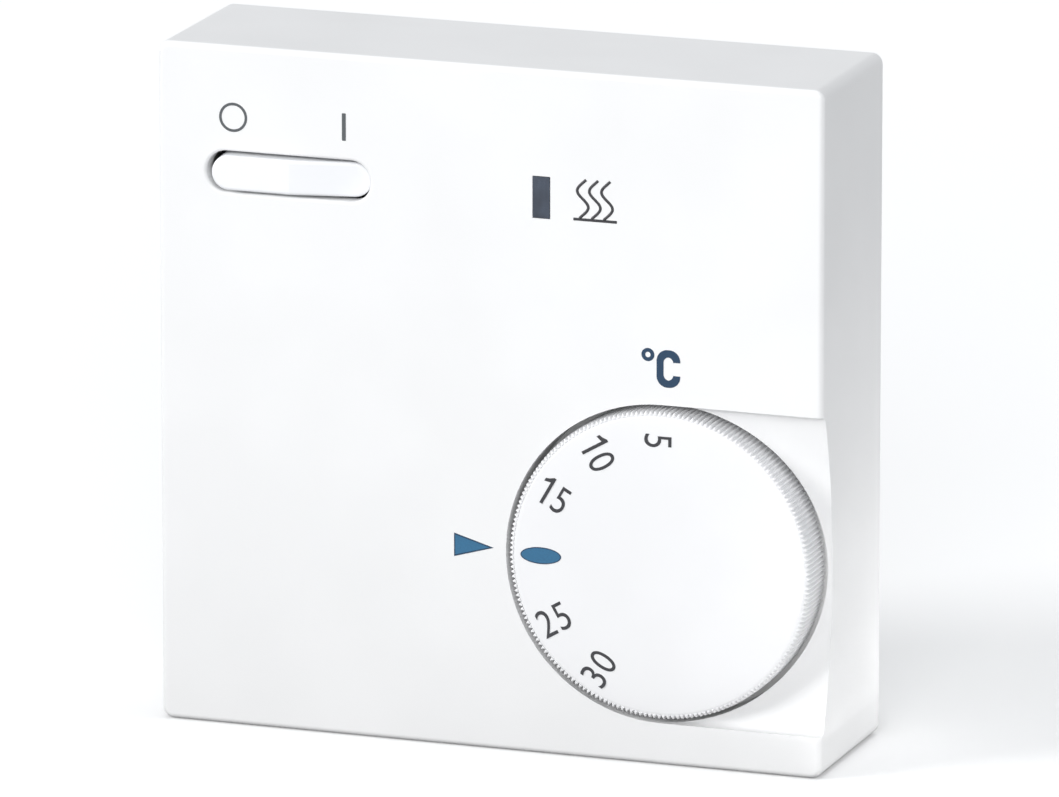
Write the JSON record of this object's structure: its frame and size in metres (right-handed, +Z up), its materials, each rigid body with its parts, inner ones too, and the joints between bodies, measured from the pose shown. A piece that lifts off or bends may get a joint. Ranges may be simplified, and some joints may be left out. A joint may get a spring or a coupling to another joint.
{
  "type": "wall thermostat",
  "caption": "Square white surface-mounted room thermostat with a knurled setting dial in a thumb recess, a rocker switch, an indicator lamp and its bimetal switch gear inside.",
  "frame": {"origin": "centre of the base plate's back face, on the wall", "axes": "+Z up the wall, +X to the right seen from the room, +Y into the wall; the front faces -Y"},
  "size_m": [0.075, 0.0255, 0.075],
  "materials": {
    "case_white": "fine satin moulding",
    "base_white": "fine satin moulding",
    "dial_white": "satin moulding",
    "rocker_white": "polished moulding",
    "lamp_dark": "smoked translucent",
    "ring_blue": "satin",
    "ring_red": "satin",
    "nylon_white": "natural nylon",
    "housing_black": "glass-filled nylon",
    "block_grey": "moulded",
    "board_laminate": "phenolic laminate",
    "resistor_body": "lacquered",
    "bulb_glass": "clear",
    "zinc_steel": "zinc plated",
    "plate_steel": "zinc plated",
    "pin_steel": "ground",
    "spring_steel": "drawn",
    "bimetal": "rolled",
    "contact_silver": "silver plated",
    "brass": "bright",
    "magnet": "sintered"
  },
  "bodies": {
    "root": {"front_cover": "case_white", "base_plate": "base_white", "cover_screw": "zinc_steel", "spindle_bush": "brass", "mechanism_plate": "plate_steel", "mechanism_screws": "zinc_steel", "board_screws": "zinc_steel", "lever_pin": "pin_steel", "lever_spring": "spring_steel", "circuit_board": "board_laminate", "arm_bracket": "brass", "arm_pin": "pin_steel", "fixed_contact": "contact_silver", "contact_post": "brass", "snap_magnet": "magnet", "lamp_lens": "lamp_dark", "lamp_bulb": "bulb_glass", "lamp_resistor": "resistor_body", "feedback_resistor": "resistor_body", "switch_housing": "housing_black", "seesaw_pin": "pin_steel", "switch_centre_terminal": "brass", "switch_outer_terminal": "brass", "terminal_block": "block_grey", "terminal_clamps": "brass", "terminal_screws": "zinc_steel"},
    "dial": {"setting_dial": "dial_white", "dial_spindle": "nylon_white", "setting_cam": "nylon_white", "min_limit_ring": "ring_blue", "max_limit_ring": "ring_red", "spindle_clip": "spring_steel"},
    "lever": {"setting_lever": "plate_steel", "bimetal_strip": "bimetal", "bimetal_rivets": "pin_steel", "calibration_nut": "brass", "calibration_screw": "brass", "pusher_tip": "nylon_white"},
    "arm": {"contact_arm": "spring_steel", "moving_contact": "contact_silver"},
    "rocker": {"switch_rocker": "rocker_white", "rocker_plunger": "nylon_white", "rocker_spring": "spring_steel"},
    "seesaw": {"seesaw_bridge": "contact_silver"}
  },
  "joints": [
    {"name": "dial_turn", "type": "hinge", "parent": "root", "child": "dial", "pos_m": [0.0195, -0.015, -0.0154], "axis": [0, -1, 0], "range_deg": [-60, 90]},
    {"name": "lever_swing", "type": "hinge", "parent": "root", "child": "lever", "pos_m": [0.007, -0.01, -0.024], "axis": [0, -1, 0], "range_deg": [-1.9, 2.8]},
    {"name": "contact_snap", "type": "hinge", "parent": "root", "child": "arm", "pos_m": [0.014, -0.011, 0.0085], "axis": [0, 1, 0], "range_deg": [0, 3], "stiffness_Nm_per_rad": 0.002, "springref_deg": -3.44},
    {"name": "rocker_tilt", "type": "hinge", "parent": "root", "child": "rocker", "pos_m": [-0.0227, -0.0214, 0.0237], "axis": [0, 0, -1], "range_deg": [0, 12]},
    {"name": "seesaw_tilt", "type": "hinge", "parent": "root", "child": "seesaw", "pos_m": [-0.0227, -0.0142, 0.0237], "axis": [0, 0, -1], "range_deg": [-12.2, 0.2]}
  ],
  "couplings": [
    {"joint": "lever_swing", "follows": "dial_turn", "ratio": 0.03},
    {"joint": "seesaw_tilt", "follows": "rocker_tilt", "ratio": -1}
  ]
}
